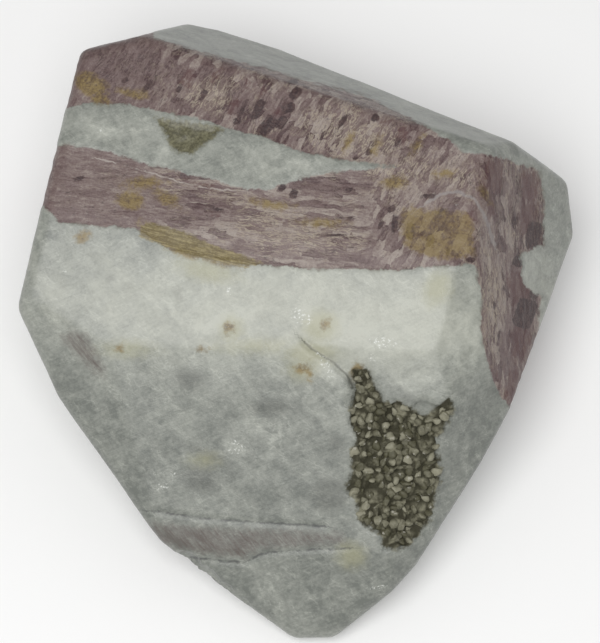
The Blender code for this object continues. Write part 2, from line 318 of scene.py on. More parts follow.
class Shade:
    """A value in a finish's node tree. Arithmetic on it adds Math nodes."""

    def __init__(self, finish, socket):
        self.finish = finish
        self.socket = socket

    def math(self, operation, first, second=0.0):
        return self.finish.node("ShaderNodeMath", {"operation": operation}, {0: first, 1: second})

    def __add__(self, other):
        return self.math("ADD", self, other)

    __radd__ = __add__

    def __sub__(self, other):
        return self.math("SUBTRACT", self, other)

    def __rsub__(self, other):
        return self.math("SUBTRACT", other, self)

    def __mul__(self, other):
        return self.math("MULTIPLY", self, other)

    __rmul__ = __mul__

    def __pow__(self, power):
        return self.math("POWER", self, power)

    def __abs__(self):
        return self.math("ABSOLUTE", self)

    def most(self, other):
        return self.math("MAXIMUM", self, other)

    def least(self, other):
        return self.math("MINIMUM", self, other)

    def rise(self, low, high):
        """0 below low, 1 above high, and an S-curve between."""
        return self.finish.node(
            "ShaderNodeMapRange",
            {"interpolation_type": "SMOOTHSTEP"},
            {"Value": self, "From Min": low, "From Max": high},
        )

    def fall(self, low, high):
        return 1.0 - self.rise(low, high)


class Finish:
    """A material and the tree of nodes that gives its colour, gloss and grain."""

    def __init__(self, name):
        self.material = bpy.data.materials.new(name)
        self.material.use_nodes = True
        self.tree = self.material.node_tree
        self.surface = self.tree.nodes["Principled BSDF"]

    def node(self, kind, settings=None, sockets=None, output=0):
        made = self.tree.nodes.new(kind)
        for name, value in (settings or {}).items():
            setattr(made, name, value)
        for key, value in (sockets or {}).items():
            self.feed(self.socket_of(made.inputs, key), value)
        return Shade(self, self.socket_of(made.outputs, output))

    @staticmethod
    def socket_of(sockets, key):
        if isinstance(key, int):
            return sockets[key]
        return next(socket for socket in sockets if key in (socket.identifier, socket.name))

    def feed(self, socket, value):
        if isinstance(value, Shade):
            self.tree.links.new(value.socket, socket)
        else:
            socket.default_value = value

    def set(self, **values):
        for name, value in values.items():
            self.feed(self.surface.inputs[name.replace("_", " ")], value)

    def attribute(self, name):
        return self.node("ShaderNodeAttribute", {"attribute_name": name}, output="Fac")

    def place(self, middle, tilt):
        """Object coordinates in millimetres, from a middle, turned to lie along the drawing."""
        spot = self.node("ShaderNodeTexCoord", output="Object")
        moved = self.node(
            "ShaderNodeMapping", {}, {"Vector": spot, "Scale": (1 / MM,) * 3, "Location": [-v for v in middle]}
        )
        return self.node("ShaderNodeMapping", {}, {"Vector": moved, "Rotation": (tilt, 0.0, 0.0)})

    def turned(self, place, lean, sizes):
        """Places measured along a leaning grain, in grain sizes."""
        return self.node(
            "ShaderNodeMapping",
            {"vector_type": "TEXTURE"},
            {"Vector": place, "Rotation": (0.0, 0.0, math.radians(lean)), "Scale": sizes},
        )

    def moved(self, place, amounts):
        return self.node("ShaderNodeVectorMath", {"operation": "ADD"}, {0: place, 1: amounts})

    def stirred(self, place, size, amount):
        """Places pushed about by a noise, so that a straight pattern wanders."""
        push = self.node("ShaderNodeTexNoise", {}, {"Vector": place, "Scale": 1 / size, "Detail": 2.0}, "Color")
        centred = self.node("ShaderNodeVectorMath", {"operation": "SUBTRACT"}, {0: push, 1: (0.5,) * 3})
        scaled = self.node(
            "ShaderNodeVectorMath", {"operation": "SCALE"}, {0: centred, "Scale": 2.0 * amount}
        )
        return self.moved(place, scaled)

    def grain(self, place, size, detail=3.0, roughness=0.5):
        return self.node(
            "ShaderNodeTexNoise",
            {},
            {"Vector": place, "Scale": 1 / size, "Detail": detail, "Roughness": roughness},
            "Fac",
        )

    def swing(self, place, size, detail=3.0, roughness=0.5):
        """A noise that swings about as far as 1 each way from 0."""
        return (self.grain(place, size, detail, roughness) - 0.5) * 4.0

    def cells(self, place, size, output="Distance", feature="F1"):
        return self.node(
            "ShaderNodeTexVoronoi", {"feature": feature}, {"Vector": place, "Scale": 1 / size}, output
        )

    def cell_tone(self, place, size):
        """One random value for each cell."""
        colour = self.cells(place, size, "Color")
        return self.node("ShaderNodeSeparateColor", {}, {0: colour})

    def block_tone(self, place):
        """One random value for each of many straight-sided blocks."""
        colour = self.node(
            "ShaderNodeTexVoronoi", {"distance": "CHEBYCHEV"}, {"Vector": place, "Scale": 1.0}, "Color"
        )
        return self.node("ShaderNodeSeparateColor", {}, {0: colour})

    def mixed(self, share, first, second):
        """A value part of the way from one to another."""
        return self.node("ShaderNodeMix", {}, {"Factor_Float": share, "A_Float": first, "B_Float": second})

    def blend(self, share, first, second, kind="MIX"):
        return self.node(
            "ShaderNodeMix",
            {"data_type": "RGBA", "blend_type": kind, "clamp_factor": True},
            {"Factor_Float": share, "A_Color": first, "B_Color": second},
            "Result_Color",
        )

    def scaled(self, colour, amount):
        return self.node("ShaderNodeVectorMath", {"operation": "SCALE"}, {0: colour, "Scale": amount})

    def bump(self, height, depth, strength=1.0):
        return self.node("ShaderNodeBump", {}, {"Height": height, "Distance": depth, "Strength": strength})


def flat(colour):
    return (*colour, 1.0)


class StoneSettings(bpy.types.PropertyGroup):
    mesh_step: FloatProperty(
        name="Mesh step", description="Spacing of the finished stone's mesh", default=0.45 * MM,
        min=0.3 * MM, unit="LENGTH",
    )
    band_sink: FloatProperty(
        name="Band sink", description="How far the tourmaline bands polish below the feldspar",
        default=0.12 * MM, min=0.0, unit="LENGTH",
    )
    crack_depth: FloatProperty(
        name="Crack depth", description="Depth of the crack beside the pocket", default=0.45 * MM,
        min=0.0, unit="LENGTH",
    )
    lump_height: FloatProperty(
        name="Lump height", description="Height of the lumps in the broken pocket", default=0.55 * MM,
        min=0.0, unit="LENGTH",
    )
    waviness: FloatProperty(
        name="Waviness", description="Unevenness that hand polishing leaves on the facets",
        default=0.07 * MM, min=0.0, unit="LENGTH",
    )
    feldspar: FloatVectorProperty(
        name="Feldspar", description="Grey feldspar", default=(0.146, 0.155, 0.139), subtype="COLOR",
    )
    milk: FloatVectorProperty(
        name="Milky feldspar", description="White veils in the feldspar", default=(0.422, 0.432, 0.384),
        subtype="COLOR",
    )
    mauve: FloatVectorProperty(
        name="Mauve tourmaline", description="The paler tourmaline", default=(0.146, 0.102, 0.097),
        subtype="COLOR",
    )
    burgundy: FloatVectorProperty(
        name="Burgundy tourmaline", description="The deepest crystals", default=(0.054, 0.027, 0.029),
        subtype="COLOR",
    )
    tan_net: FloatVectorProperty(
        name="Tan net", description="Thin tan lines between the columns", default=(0.34, 0.29, 0.225),
        subtype="COLOR",
    )
    ochre: FloatVectorProperty(
        name="Ochre", description="Iron stains", default=(0.204, 0.146, 0.051), subtype="COLOR",
    )
    olive: FloatVectorProperty(
        name="Olive", description="Mossy mineral in the white wedge", default=(0.051, 0.045, 0.019),
        subtype="COLOR",
    )


class PocketSettings(bpy.types.PropertyGroup):
    grain_spacing: FloatProperty(
        name="Grain spacing", description="Least distance between loose grains", default=0.85 * MM,
        min=0.3 * MM, unit="LENGTH",
    )
    grain_size: FloatProperty(
        name="Grain size", description="Radius of an average loose grain", default=0.62 * MM,
        min=0.1 * MM, unit="LENGTH",
    )
    seed: IntProperty(name="Seed", description="Seed of the scatter", default=7, min=0)
    pale: FloatVectorProperty(
        name="Pale grain", description="Tan grains", default=(0.245, 0.235, 0.17), subtype="COLOR",
    )
    dark: FloatVectorProperty(
        name="Dark grain", description="Brown-olive grains and crevices", default=(0.068, 0.064, 0.034),
        subtype="COLOR",
    )


class StageSettings(bpy.types.PropertyGroup):
    floor_side: FloatProperty(
        name="Floor", description="Side of the floor", default=3.0, min=0.5, unit="LENGTH",
    )
    floor_colour: FloatVectorProperty(
        name="Floor colour", description="Pale floor", default=(0.90, 0.90, 0.895), subtype="COLOR",
    )
    key_power: FloatProperty(
        name="Key light", description="Power of the soft light above the front", default=3.95, min=0.0,
        unit="POWER",
    )
    sky: FloatProperty(
        name="Room light", description="Strength of the even light all round", default=0.44, min=0.0,
    )


def read_mesh(mesh):
    """A mesh's points in millimetres and its outward directions."""
    count = len(mesh.vertices)
    points = np.empty(count * 3, np.float32)
    mesh.vertices.foreach_get("co", points)
    normals = np.empty(count * 3, np.float32)
    mesh.vertex_normals.foreach_get("vector", normals)
    return points.reshape(-1, 3).astype(float) / MM, normals.reshape(-1, 3).astype(float)


def write_points(mesh, points):
    mesh.vertices.foreach_set("co", (points * MM).astype(np.float32).ravel())
    mesh.update()


def store(mesh, name, values):
    layer = mesh.attributes.new(name, "FLOAT", "POINT")
    layer.data.foreach_set("value", values.astype(np.float32))


def evenly_meshed(step):
    """A copy of the CAD stone with an even mesh, fine enough for the relief."""
    cad = bmesh.new()
    cad.from_mesh(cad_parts[STONE_NODE].data)
    bmesh.ops.remove_doubles(cad, verts=cad.verts[:], dist=1e-6)
    surface = BVHTree.FromBMesh(cad)
    mesh = bpy.data.meshes.new("rough_stone")
    cad.to_mesh(mesh)
    cad.free()
    rough = bpy.data.objects.new("rough_stone", mesh)
    bpy.context.scene.collection.objects.link(rough)
    remesh = rough.modifiers.new("even mesh", "REMESH")
    remesh.mode = "VOXEL"
    remesh.voxel_size = step
    graph = bpy.context.evaluated_depsgraph_get()
    even = bpy.data.meshes.new_from_object(rough.evaluated_get(graph))
    bpy.data.objects.remove(rough)
    refine_pocket(even)
    for point in even.vertices:
        point.co = surface.find_nearest(point.co)[0]
    even.update()
    return even


def refine_pocket(mesh):
    """Cuts the pocket's faces finer, for its crumbly lumps."""
    points, normals = read_mesh(mesh)
    across, up, _ = drawn(points)
    inner = (outline_depth(BROKEN_POCKET, across, up) > -0.6) & (facing(normals) > 0.2)
    shape = bmesh.new()
    shape.from_mesh(mesh)
    edges = [edge for edge in shape.edges if all(inner[point.index] for point in edge.verts)]
    bmesh.ops.subdivide_edges(shape, edges=edges, cuts=1, use_grid_fill=True)
    bmesh.ops.triangulate(shape, faces=[face for face in shape.faces if len(face.verts) > 4])
    shape.to_mesh(mesh)
    shape.free()


def facing(normals):
    """How squarely each point of the surface faces the drawing: 1 fully, -1 turned away."""
    tilt = math.radians(DRAWING_ELEVATION)
    return normals[:, 2] * math.sin(tilt) - normals[:, 1] * math.cos(tilt)


def layer_map(points, normals):
    """How far inside each mineral every point of the surface is, in millimetres."""
    across, up, _ = drawn(points)
    away = rise_from(-facing(normals), -0.1, 0.5)
    across = across + away * 2.0 * noise_at(points, 9.0, 1)
    up = up + away * 2.0 * noise_at(points, 9.0, 2)
    front = EDGE_TURN * rise_from(-facing(normals), -0.12, 0.2)
    pink = np.minimum(outline_depth(PINK_FIELD, across, up), -outline_depth(WHITE_WEDGE, across, up))
    seam = outline_depth(LILAC_SEAM, across, up)
    return {
        "pink": pink,
        "mauve": np.maximum(seam, outline_depth(ROSE_PATCH, across, up) - front),
        "dark": spots_depth(DARK_CRYSTALS, across, up, 5.0) - front,
        "rose": spots_depth(ROSE_CRYSTALS, across, up, 4.0) - front,
        "ochre": spots_depth(OCHRE_STAINS, across, up) - front,
        "gold": outline_depth(GOLDEN_PATCH, across, up) - front,
        "mustard": outline_depth(MUSTARD_STRIP, across, up) - front,
        "pink_tone": cloud_tone(PINK_CLOUDS, across, up),
        "tan_tone": cloud_tone(TAN_CLOUDS, across, up),
        "glow": spots_depth(YELLOW_GLOWS, across, up) - front,
        "moss": outline_depth(MOSS_POCKET, across, up) - front,
        "milk": np.maximum(spots_depth(MILKY_BLADES_AND_GLINT_HIGHLIGHTS, across, up), outline_depth(WHITE_TOOTH, across, up))
        - front,
        "shady": spots_depth(SHADY_PATCHES, across, up) - front,
        "painted_glint": spots_depth(PAINTED_GLINTS, across, up) - front,
        "tone": cloud_tone(FELDSPAR_TONE_AND_FACET_LIGHT, across, up),
        "broken": outline_depth(BROKEN_POCKET, across, up) - front,
        "crack": line_side(CRACK, across, up) + front,
        "crest": line_side(BAND_CREST, across, up) + front,
        "vein": line_side(WHITE_VEIN, across, up) + front,
        "seam_edge": line_side(SEAM_EDGE, across, up) + front,
        "seam_foot": line_side(SEAM_FOOT, across, up) + front,
        "front": facing(normals),
        "across": across,
        "up": up,
    }


def relief(points, layers, stone):
    """How far each point stands proud of the ground facets, in millimetres."""
    height = stone.waviness / MM * noise_at(points, 7.0, 3)
    height += 0.4 * stone.waviness / MM * noise_at(points, 2.2, 4)
    pink = rise_from(layers["pink"], -0.3, 0.4)
    height -= stone.band_sink / MM * pink * (1.0 + 0.8 * noise_at(points, 0.9, 5))
    height -= 0.25 * rise_from(layers["moss"], -0.3, 0.9) * (1.0 + noise_at(points, 0.8, 6))
    height -= 0.10 * rise_from(layers["gold"], -0.3, 0.6) * (1.0 + noise_at(points, 0.7, 7))
    depth = stone.crack_depth / MM
    height -= depth * (1.0 - rise_from(np.abs(layers["crack"]), 0.05, 0.6))
    height -= 0.5 * depth * rise_from(layers["crack"], 0.0, 0.3) * (1.0 - rise_from(layers["crack"], 0.6, 3.0))
    height -= 0.12 * (1.0 - rise_from(np.abs(layers["seam_edge"]), 0.05, 0.5))
    height -= 0.15 * (1.0 - rise_from(np.abs(layers["seam_foot"]), 0.05, 0.5))
    broken = layers["broken"]
    crumbly = broken > -0.7
    lumps = np.zeros(len(points))
    near = points[crumbly]
    lumps[crumbly] = 0.65 * lumps_at(near, 1.9, 1) + 0.35 * lumps_at(near, 0.9, 2)
    lumps[crumbly] += 0.25 * noise_at(near, 0.5, 8)
    height += stone.lump_height / MM * (lumps - 0.75) * rise_from(broken, -0.5, 0.5)
    # The lump heights are kept for the pocket's colour, which darkens the crevices: partly dirt, partly painted
    # shade.
    layers["lump"] = lumps
    return height


def stone_finish(stone):
    """Feldspar with tourmaline bands, iron stains and the broken pocket."""
    finish = Finish("polished_tourmaline_in_feldspar")
    place = finish.place(DRAWING_MIDDLE, math.radians(DRAWING_ELEVATION - 90.0))
    colour, rough = feldspar(finish, place, stone)
    pink, depth = tourmaline(finish, place, stone)

    wander = finish.swing(place, 1.5, 4.0, 0.6) * 0.28 + finish.swing(place, 0.5, 3.0, 0.6) * 0.12
    edge = finish.attribute("pink") + wander
    in_pink = edge.rise(-0.12, 0.18)
    rim = abs(edge).fall(0.05, 0.4) * finish.swing(place, 1.8, 3.0).rise(-0.1, 0.5)
    colour = finish.blend(in_pink, colour, pink)
    colour = finish.blend(rim * 0.35, colour, (0.085, 0.066, 0.05, 1.0))
    mauve = finish.attribute("mauve") + finish.swing(place, 0.9, 4.0, 0.65) * 0.5
    streaks = finish.swing(finish.turned(place, -50.0, (2.0, 0.35, 1.0)), 1.0, 4.0, 0.6)
    in_mauve = mauve.rise(-0.5, 1.0) * (0.6 + 0.4 * streaks)
    colour = finish.blend(in_mauve, colour, (0.105, 0.085, 0.076, 1.0))
    colour = stains(finish, place, stone, colour, depth)
    colour = lines(finish, place, stone, colour)
    # Painted glints: near-white flecks painted into the colour as highlights off cleavage planes, inside the glint
    # spots.
    painted_glint = finish.attribute("painted_glint") + finish.swing(place, 0.5, 3.0, 0.6) * 0.3
    painted_sparkle = finish.swing(place, 0.32, 2.0, 0.6).rise(0.2, 0.5) * painted_glint.rise(0.0, 0.3)
    colour = finish.blend(painted_sparkle, colour, (0.585, 0.598, 0.558, 1.0))
    rough = finish.mixed(in_pink, rough, 0.42)
    colour, rough = pocket_floor(finish, place, colour, rough)

    height = finish.swing(place, 0.22, 3.0, 0.6) * 0.12 + depth * in_pink * -0.9
    crumb = finish.attribute("broken").rise(-0.4, 0.4) * finish.swing(place, 0.35, 4.0, 0.7) * 0.9
    finish.set(
        Base_Color=colour,
        Roughness=rough,
        Normal=finish.bump(height + crumb, 0.07 * MM, 0.9),
    )
    finish.surface.inputs["IOR"].default_value = 1.5
    finish.surface.inputs["Specular IOR Level"].default_value = 0.35
    return finish.material


def feldspar(finish, place, stone):
    """Grey translucent feldspar with milky veils, cleavage and bright specks."""
    stirred = finish.stirred(place, 5.0, 1.6)
    cloud = finish.swing(stirred, 5.0, 4.0, 0.6)
    mottle = finish.swing(place, 1.1, 5.0, 0.7)
    fine = finish.swing(place, 0.38, 3.0, 0.65)
    veil_down = finish.swing(finish.turned(stirred, -48.0, (4.4, 1.5, 2.0)), 1.0, 5.0, 0.62)
    veil_up = finish.swing(finish.turned(stirred, 26.0, (5.0, 1.3, 2.0)), 1.0, 5.0, 0.62)
    bend = finish.turned(finish.stirred(place, 3.0, 1.4), -24.0, (4.2, 1.4, 2.0))
    thread = (1.0 - abs(finish.swing(bend, 1.0, 3.0, 0.55)) * 9.0).rise(0.0, 1.0)
    fibre = finish.swing(finish.turned(place, 24.0, (2.0, 0.2, 0.8)), 1.0, 3.0, 0.6)
    block = finish.cell_tone(finish.turned(stirred, -30.0, (1.6, 1.0, 1.2)), 2.0)
    # The tone clouds: partly the feldspar's own tone, partly painted light on the front facet and painted shade on
    # the facets turned down.
    tone = finish.attribute("tone")
    light = veil_down * 0.15 + veil_up * 0.12 + cloud * 0.13 + mottle * 0.16 + fine * 0.14
    light = light + fibre * 0.09 + (block - 0.5) * 0.14 + thread * (veil_down + 0.4).rise(0.0, 0.8) * 0.22
    # Milky veils: the feldspar's own white blades, and round the glints painted highlight too.
    milk = finish.attribute("milk") + mottle * 0.5
    light = light + milk.rise(-0.6, 1.0) * 0.24 + tone + 0.28
    colour = finish.blend(light, flat(stone.feldspar), flat(stone.milk))
    # A cream tint that follows the tone clouds, so partly painted light on the front facet.
    warm = (cloud * 0.5 + tone * 2.0).rise(0.1, 1.4)
    colour = finish.blend(warm * 0.25, colour, (0.40, 0.40, 0.32, 1.0))
    shady = finish.attribute("shady") + mottle * 0.4
    shade = 1.0 - shady.rise(-0.5, 1.0) * 0.30
    specks = (fine * 0.6 + mottle * 0.6).rise(0.62, 1.1) * 0.34
    colour = finish.scaled(colour, shade * (1.0 - specks))
    return colour, 0.34 + mottle * 0.05


def tourmaline(finish, place, stone):
    """Slanted columns of mauve to burgundy tourmaline, with thin tan lines between them."""
    stirred = finish.stirred(place, 2.4, 0.45)
    across = finish.attribute("across")
    up = finish.attribute("up")
    crest = 21.0 - across * 0.13
    in_lower = (crest - up).rise(-1.0, 1.0) * across.fall(7.0, 11.0)
    in_flank = across.rise(20.0, 24.0)

    def laid(lean, sizes):
        return finish.turned(stirred, lean, sizes)

    def along_columns(pattern, width, length):
        upper = pattern(laid(-32.0, (width, length, width * 1.5)))
        lower = pattern(laid(84.0, (width * 0.9, length * 1.3, width * 1.5)))
        flank = pattern(laid(6.0, (width, length, width * 1.5)))
        mixed = finish.mixed(in_lower, upper, lower)
        return finish.mixed(in_flank, mixed, flank)

    tone = along_columns(lambda spot: finish.block_tone(spot), 0.8, 2.2)
    column = along_columns(lambda spot: finish.swing(spot, 1.0, 4.0, 0.6), 0.34, 1.9)
    thread = along_columns(lambda spot: finish.swing(spot, 1.0, 3.0, 0.6), 0.42, 2.0)
    mottle = finish.swing(place, 0.7, 5.0, 0.7)
    cloud = finish.swing(place, 3.6, 4.0, 0.6)
    fine = finish.swing(place, 0.3, 3.0, 0.65)
    calm = across.rise(-19.5, -15.0) * 0.7 + 0.3

    depth = (tone - 0.5) * 0.85 * calm + column * 0.27 + mottle * 0.21 + cloud * 0.13 + fine * 0.20
    depth = depth + 0.34 + finish.attribute("pink_tone")
    colour = finish.blend(depth.rise(-0.35, 0.50), (0.30, 0.255, 0.225, 1.0), flat(stone.mauve))
    colour = finish.blend(depth.rise(0.35, 1.05), colour, flat(stone.burgundy))
    tan = finish.attribute("tan_tone")
    net_zone = (cloud * 0.6 + mottle * 0.4 + tan * 1.2 + 0.05).rise(-0.2, 0.8) * calm
    net = (1.0 - abs(thread) * 3.6).rise(0.0, 1.0) * net_zone
    net = net.most((fine + column * 0.7).rise(0.45, 1.1) * net_zone * 0.9)
    net = net.most((tan + mottle * 0.4).rise(0.2, 1.2) * 0.45)
    colour = finish.blend(net * 0.85, colour, flat(stone.tan_net))
    pit = (1.0 - abs(column - 0.25) * 5.0).rise(0.0, 1.0) * (mottle - cloud * 0.4).fall(-0.5, 0.0)
    colour = finish.blend(pit * 0.7, colour, (0.035, 0.022, 0.020, 1.0))
    dark = finish.attribute("dark") + mottle * 0.10 + column * 0.08
    rose = finish.attribute("rose") + mottle * 0.4 + column * 0.3
    colour = finish.blend(rose.rise(-0.1, 0.5) * 0.66, colour, (0.085, 0.037, 0.037, 1.0))
    gloom = finish.blend((fine + column).rise(-0.6, 1.0), (0.030, 0.015, 0.017, 1.0), (0.085, 0.052, 0.048, 1.0))
    colour = finish.blend(dark.rise(-0.05, 0.10) * 0.92, colour, gloom)
    return colour, depth


def stains(finish, place, stone, colour, depth):
    """Iron stains, the golden patch, the mustard strip and the mossy pocket."""
    mottle = finish.swing(place, 0.8, 4.0, 0.65)
    crumb = finish.swing(place, 0.35, 3.0, 0.6)
    streak = finish.swing(finish.turned(place, -14.0, (2.2, 0.22, 0.6)), 1.0, 3.0, 0.6)
    ochre = finish.attribute("ochre") + mottle * 0.4
    gold = finish.attribute("gold") + mottle * 0.6
    strip = finish.attribute("mustard") + mottle * 0.22 + streak * 0.15
    glow = finish.attribute("glow") + mottle * 0.4
    moss = finish.attribute("moss") + mottle * 0.4
    colour = finish.blend(glow.rise(-1.0, 1.2) * 0.5, colour, (0.315, 0.305, 0.178, 1.0))
    tint = finish.blend((crumb * 0.5 + depth * 1.2).rise(0.1, 1.2), flat(stone.ochre), (0.088, 0.056, 0.028, 1.0))
    colour = finish.blend(ochre.rise(-0.35, 0.45) * 0.85, colour, tint)
    colour = finish.blend(gold.rise(-0.2, 0.8) * (0.75 - depth * 0.2), colour, tint)
    mustard = finish.blend((streak + crumb * 0.5).rise(-0.4, 1.0), (0.118, 0.088, 0.030, 1.0), (0.262, 0.215, 0.098, 1.0))
    colour = finish.blend(strip.rise(-0.15, 0.3) * 0.9, colour, mustard)
    green = finish.blend((crumb * 0.6 + mottle * 0.6).rise(-0.6, 0.7), flat(stone.olive), (0.163, 0.153, 0.088, 1.0))
    return finish.blend(moss.rise(-0.3, 0.4) * 0.92, colour, green)


def lines(finish, place, stone, colour):
    """The thin lines: crack, crest, vein and the seam's edges."""
    broken_up = finish.grain(place, 1.2, 3.0, 0.6)
    wander = finish.swing(place, 0.9, 2.0, 0.5) * 0.15
    vein = abs(finish.attribute("vein") + wander).fall(0.08, 0.3)
    colour = finish.blend(vein * 0.6, colour, (0.272, 0.252, 0.245, 1.0))
    crest = abs(finish.attribute("crest") + wander).fall(0.04, 0.16) * broken_up.rise(0.35, 0.55)
    colour = finish.blend(crest * 0.8, colour, (0.354, 0.313, 0.286, 1.0))
    crack = abs(finish.attribute("crack") + wander * 0.5).fall(0.02, 0.25)
    colour = finish.blend(crack * 0.55, colour, (0.048, 0.048, 0.034, 1.0))
    for name in ("seam_edge", "seam_foot"):
        seam = abs(finish.attribute(name) + wander).fall(0.04, 0.26) * broken_up.rise(0.35, 0.6)
        colour = finish.blend(seam * 0.7, colour, (0.068, 0.068, 0.068, 1.0))
    return colour


def pocket_floor(finish, place, colour, rough):
    """Brown, crumbly floor of the broken pocket, darker in the crevices between its lumps: partly dirt, partly
    painted shade.
    """
    crumb = finish.grain(place, 0.5, 4.0, 0.65)
    broken = finish.attribute("broken") + (finish.grain(place, 0.9, 3.0, 0.6) - 0.5) * 1.8
    lump = finish.attribute("lump") + (crumb - 0.5) * 0.9
    # Lump tops pale, crevices dark: partly dirt and partly painted shade in the recesses.
    tint = finish.blend(lump.rise(0.15, 0.95), (0.042, 0.039, 0.022, 1.0), (0.224, 0.214, 0.15, 1.0))
    share = broken.rise(-0.25, 0.35)
    return finish.blend(share, colour, tint), rough + share * 0.4


def grain_finish(pocket):
    """Loose grains: each its own brown, with darker pits."""
    finish = Finish("pocket_grain")
    place = finish.place(DRAWING_MIDDLE, math.radians(DRAWING_ELEVATION - 90.0))
    tone = finish.attribute("tone")
    crumb = finish.grain(place, 0.4, 4.0, 0.65)
    share = (tone * 0.8 + crumb * 0.9).rise(0.45, 1.25)
    colour = finish.blend(share, flat(pocket.dark), flat(pocket.pale))
    fleck = finish.cell_tone(place, 0.3).rise(0.96, 0.98)
    colour = finish.blend(fleck * 0.6, colour, (0.408, 0.394, 0.34, 1.0))
    finish.set(
        Base_Color=colour,
        Roughness=0.62 + (crumb - 0.5) * 0.3,
        Normal=finish.bump(crumb, 0.12 * MM, 0.8),
    )
    return finish.material


def scatter_tree(pocket, material):
    """Geometry nodes that scatter uneven grains over a patch of the stone."""
    tree = bpy.data.node_groups.new("pocket grains", "GeometryNodeTree")
    face = tree.interface
    face.new_socket("Patch", in_out="INPUT", socket_type="NodeSocketGeometry")
    face.new_socket("Spacing", in_out="INPUT", socket_type="NodeSocketFloat")
    face.new_socket("Grain radius", in_out="INPUT", socket_type="NodeSocketFloat")
    face.new_socket("Seed", in_out="INPUT", socket_type="NodeSocketInt")
    face.new_socket("Grains", in_out="OUTPUT", socket_type="NodeSocketGeometry")
    nodes, links = tree.nodes, tree.links

    def add(kind, settings=None, **values):
        node = nodes.new(kind)
        for name, value in (settings or {}).items():
            setattr(node, name, value)
        for name, value in values.items():
            socket = node.inputs[name.replace("_", " ")]
            if isinstance(value, bpy.types.NodeSocket):
                links.new(value, socket)
            else:
                socket.default_value = value
        return node

    given = add("NodeGroupInput").outputs
    spread = add(
        "GeometryNodeDistributePointsOnFaces", {"distribute_method": "POISSON"},
        Mesh=given["Patch"], Distance_Min=given["Spacing"], Density_Max=2.0e6, Seed=given["Seed"],
    )
    grain = add("GeometryNodeMeshIcoSphere", Subdivisions=2, Radius=given["Grain radius"])
    size = add("FunctionNodeRandomValue", {"data_type": "FLOAT_VECTOR"}, Seed=3)
    size.inputs[0].default_value = (0.5, 0.5, 0.35)
    size.inputs[1].default_value = (1.35, 1.1, 0.9)
    turn = add("FunctionNodeRandomValue", {"data_type": "FLOAT_VECTOR"}, Seed=5)
    turn.inputs[0].default_value = (-0.6, -0.6, 0.0)
    turn.inputs[1].default_value = (0.6, 0.6, math.tau)
    placed = add(
        "GeometryNodeInstanceOnPoints",
        Points=spread.outputs["Points"], Instance=grain.outputs["Mesh"],
        Rotation=spread.outputs["Rotation"], Scale=size.outputs["Value"],
    )
    turned = add(
        "GeometryNodeRotateInstances",
        Instances=placed.outputs["Instances"], Rotation=turn.outputs["Value"],
    )
    tone = add("FunctionNodeRandomValue", {"data_type": "FLOAT"}, Seed=11)
    toned = add(
        "GeometryNodeStoreNamedAttribute", {"data_type": "FLOAT", "domain": "INSTANCE"},
        Geometry=turned.outputs["Instances"], Name="tone",
    )
    links.new(tone.outputs[1], toned.inputs["Value"])
    real = add("GeometryNodeRealizeInstances", Geometry=toned.outputs["Geometry"])
    uneven = add("ShaderNodeTexNoise", Scale=1400.0, Detail=1.0)
    centred = add("ShaderNodeVectorMath", {"operation": "SUBTRACT"})
    links.new(uneven.outputs["Color"], centred.inputs[0])
    centred.inputs[1].default_value = (0.5, 0.5, 0.5)
    push = add("ShaderNodeVectorMath", {"operation": "SCALE"})
    links.new(centred.outputs["Vector"], push.inputs[0])
    push.inputs["Scale"].default_value = 0.9 * MM
    shaped = add(
        "GeometryNodeSetPosition", Geometry=real.outputs["Geometry"], Offset=push.outputs["Vector"],
    )
    finished = add("GeometryNodeSetMaterial", Geometry=shaped.outputs["Geometry"], Material=material)
    add("NodeGroupOutput", Grains=finished.outputs["Geometry"])
    return tree


def socket_identifier(tree, name):
    return next(item.identifier for item in tree.interface.items_tree if item.name == name)


def pocket_patch(stone_mesh, depth_inside):
    """The stone's faces well inside the broken pocket, as a mesh of their own."""
    broken = np.empty(len(stone_mesh.vertices), np.float32)
    stone_mesh.attributes["broken"].data.foreach_get("value", broken)
    shape = bmesh.new()
    shape.from_mesh(stone_mesh)
    outside = [point for point in shape.verts if broken[point.index] < depth_inside]
    bmesh.ops.delete(shape, geom=outside, context="VERTS")
    patch = bpy.data.meshes.new("pocket_patch")
    shape.to_mesh(patch)
    shape.free()
    return patch


class TOURMALINE_OT_polished_stone(bpy.types.Operator):
    """Make the polished stone: its even mesh, its relief and its finish"""

    bl_idname = "tourmaline.polished_stone"
    bl_label = "Polished stone"

    def execute(self, context):
        stone = context.scene.tourmaline_stone
        mesh = evenly_meshed(stone.mesh_step)
        points, normals = read_mesh(mesh)
        layers = layer_map(points, normals)
        height = relief(points, layers, stone)
        write_points(mesh, points + normals * height[:, None])
        for name, values in layers.items():
            store(mesh, name, values)
        mesh.shade_smooth()
        mesh.materials.clear()
        mesh.materials.append(stone_finish(stone))
        mesh.name = "polished_stone"
        piece = bpy.data.objects.new("polished_stone", mesh)
        context.scene.collection.objects.link(piece)
        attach(piece, "root")
        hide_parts(STONE_NODE)
        return {"FINISHED"}


